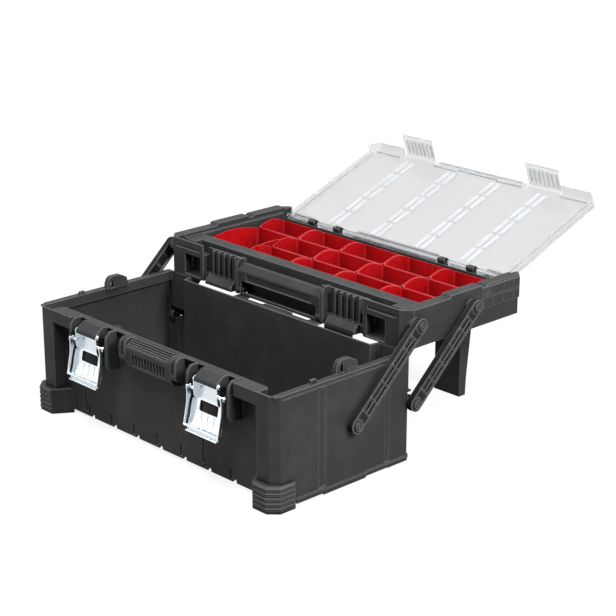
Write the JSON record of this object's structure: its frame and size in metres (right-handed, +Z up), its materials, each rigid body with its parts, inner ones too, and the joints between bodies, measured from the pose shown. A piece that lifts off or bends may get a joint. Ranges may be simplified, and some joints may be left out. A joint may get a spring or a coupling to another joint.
{
  "type": "cantilever tool box",
  "caption": "Cantilever tool box: a deep lower bin, a tray of lift-out bins on swinging arms with support legs, a clear ribbed lid, a fold-out handle and steel latches.",
  "frame": {"origin": "centre of the lower bin's footprint, on the floor", "axes": "+X to the right along the width, -Y to the front where the latches are, +Z up"},
  "size_m": [0.573, 0.7459, 0.3422],
  "materials": {
    "black_plastic": "fine moulded texture",
    "black_link": "satin moulded",
    "red_plastic": "semi-gloss moulded",
    "clear_plastic": "clear moulded",
    "zinc_steel": "bright zinc plated"
  },
  "bodies": {
    "base": {"base_bin": "black_plastic", "front_foot_left": "black_plastic", "front_foot_right": "black_plastic", "front_arm_lower_pin_left": "black_link", "front_arm_lower_pin_right": "black_link", "rear_arm_lower_pin_left": "black_link", "rear_arm_lower_pin_right": "black_link", "latch_lever_pin_left": "zinc_steel", "latch_lever_pin_right": "zinc_steel"},
    "front_arm_right_link": {"front_arm_right": "black_link"},
    "front_arm_left_link": {"front_arm_left": "black_link"},
    "rear_arm_right_link": {"rear_arm_right": "black_link"},
    "rear_arm_left_link": {"rear_arm_left": "black_link"},
    "tray": {"organiser_tray": "black_plastic", "support_leg_left": "black_plastic", "support_leg_right": "black_plastic", "front_arm_upper_pin_left": "black_link", "front_arm_upper_pin_right": "black_link", "rear_arm_upper_pin_left": "black_link", "rear_arm_upper_pin_right": "black_link", "handle_pin_left": "black_link", "handle_pin_right": "black_link"},
    "lid": {"clear_lid": "clear_plastic"},
    "handle": {"carry_handle": "black_plastic"},
    "lever_right": {"latch_lever_right": "zinc_steel", "latch_hook_pins_right": "zinc_steel"},
    "hook_right": {"latch_hook_right": "zinc_steel"},
    "lever_left": {"latch_lever_left": "zinc_steel", "latch_hook_pins_left": "zinc_steel"},
    "hook_left": {"latch_hook_left": "zinc_steel"},
    "front_box_1": {"front_bin_1": "red_plastic"},
    "rear_box_1": {"rear_bin_1": "red_plastic"},
    "front_box_2": {"front_bin_2": "red_plastic"},
    "middle_box_2": {"middle_bin_2": "red_plastic"},
    "rear_box_2": {"rear_bin_2": "red_plastic"},
    "front_box_3": {"front_bin_3": "red_plastic"},
    "middle_box_3": {"middle_bin_3": "red_plastic"},
    "rear_box_3": {"rear_bin_3": "red_plastic"},
    "front_box_4": {"front_bin_4": "red_plastic"},
    "middle_box_4": {"middle_bin_4": "red_plastic"},
    "rear_box_4": {"rear_bin_4": "red_plastic"},
    "front_box_5": {"front_bin_5": "red_plastic"},
    "middle_box_5": {"middle_bin_5": "red_plastic"},
    "rear_box_5": {"rear_bin_5": "red_plastic"}
  },
  "joints": [
    {"name": "front_arm_right_swing", "type": "hinge", "parent": "base", "child": "front_arm_right_link", "pos_m": [0.27875, 0.0168, 0.0913], "axis": [1, 0, 0], "range_deg": [0, 94.8]},
    {"name": "front_arm_left_swing", "type": "hinge", "parent": "base", "child": "front_arm_left_link", "pos_m": [-0.27875, 0.0168, 0.0913], "axis": [1, 0, 0], "range_deg": [0, 94.8]},
    {"name": "rear_arm_right_swing", "type": "hinge", "parent": "base", "child": "rear_arm_right_link", "pos_m": [0.27875, 0.137, 0.0913], "axis": [1, 0, 0], "range_deg": [0, 94.8]},
    {"name": "rear_arm_left_swing", "type": "hinge", "parent": "base", "child": "rear_arm_left_link", "pos_m": [-0.27875, 0.137, 0.0913], "axis": [1, 0, 0], "range_deg": [0, 94.8]},
    {"name": "tray_level", "type": "hinge", "parent": "front_arm_right_link", "child": "tray", "pos_m": [0.27875, 0.1453, 0.2093], "axis": [1, 0, 0], "range_deg": [-94.8, 0]},
    {"name": "lid_hinge", "type": "hinge", "parent": "tray", "child": "lid", "pos_m": [0, 0.3704, 0.223], "axis": [1, 0, 0], "range_deg": [0, 159]},
    {"name": "handle_fold", "type": "hinge", "parent": "tray", "child": "handle", "pos_m": [0, 0.131, 0.18], "axis": [1, 0, 0], "range_deg": [0, 90]},
    {"name": "lever_right_turn", "type": "hinge", "parent": "base", "child": "lever_right", "pos_m": [0.138, -0.136, 0.157], "axis": [1, 0, 0], "range_deg": [-95, 12]},
    {"name": "hook_right_turn", "type": "hinge", "parent": "lever_right", "child": "hook_right", "pos_m": [0.138, -0.136, 0.142], "axis": [-1, 0, 0], "range_deg": [0, 182.4]},
    {"name": "lever_left_turn", "type": "hinge", "parent": "base", "child": "lever_left", "pos_m": [-0.138, -0.136, 0.157], "axis": [1, 0, 0], "range_deg": [-95, 12]},
    {"name": "hook_left_turn", "type": "hinge", "parent": "lever_left", "child": "hook_left", "pos_m": [-0.138, -0.136, 0.142], "axis": [-1, 0, 0], "range_deg": [0, 182.4]},
    {"name": "front_bin_1_lift", "type": "slide", "parent": "tray", "child": "front_box_1", "axis": [0, 0, -1], "range_m": [-0.06, 0]},
    {"name": "rear_bin_1_lift", "type": "slide", "parent": "tray", "child": "rear_box_1", "axis": [0, 0, -1], "range_m": [-0.06, 0]},
    {"name": "front_bin_2_lift", "type": "slide", "parent": "tray", "child": "front_box_2", "axis": [0, 0, -1], "range_m": [-0.06, 0]},
    {"name": "middle_bin_2_lift", "type": "slide", "parent": "tray", "child": "middle_box_2", "axis": [0, 0, -1], "range_m": [-0.06, 0]},
    {"name": "rear_bin_2_lift", "type": "slide", "parent": "tray", "child": "rear_box_2", "axis": [0, 0, -1], "range_m": [-0.06, 0]},
    {"name": "front_bin_3_lift", "type": "slide", "parent": "tray", "child": "front_box_3", "axis": [0, 0, -1], "range_m": [-0.06, 0]},
    {"name": "middle_bin_3_lift", "type": "slide", "parent": "tray", "child": "middle_box_3", "axis": [0, 0, -1], "range_m": [-0.06, 0]},
    {"name": "rear_bin_3_lift", "type": "slide", "parent": "tray", "child": "rear_box_3", "axis": [0, 0, -1], "range_m": [-0.06, 0]},
    {"name": "front_bin_4_lift", "type": "slide", "parent": "tray", "child": "front_box_4", "axis": [0, 0, -1], "range_m": [-0.06, 0]},
    {"name": "middle_bin_4_lift", "type": "slide", "parent": "tray", "child": "middle_box_4", "axis": [0, 0, -1], "range_m": [-0.06, 0]},
    {"name": "rear_bin_4_lift", "type": "slide", "parent": "tray", "child": "rear_box_4", "axis": [0, 0, -1], "range_m": [-0.06, 0]},
    {"name": "front_bin_5_lift", "type": "slide", "parent": "tray", "child": "front_box_5", "axis": [0, 0, -1], "range_m": [-0.06, 0]},
    {"name": "middle_bin_5_lift", "type": "slide", "parent": "tray", "child": "middle_box_5", "axis": [0, 0, -1], "range_m": [-0.06, 0]},
    {"name": "rear_bin_5_lift", "type": "slide", "parent": "tray", "child": "rear_box_5", "axis": [0, 0, -1], "range_m": [-0.06, 0]}
  ],
  "couplings": [
    {"joint": "front_arm_left_swing", "follows": "front_arm_right_swing", "ratio": 1},
    {"joint": "rear_arm_right_swing", "follows": "front_arm_right_swing", "ratio": 1},
    {"joint": "rear_arm_left_swing", "follows": "front_arm_right_swing", "ratio": 1},
    {"joint": "tray_level", "follows": "front_arm_right_swing", "ratio": -1}
  ]
}
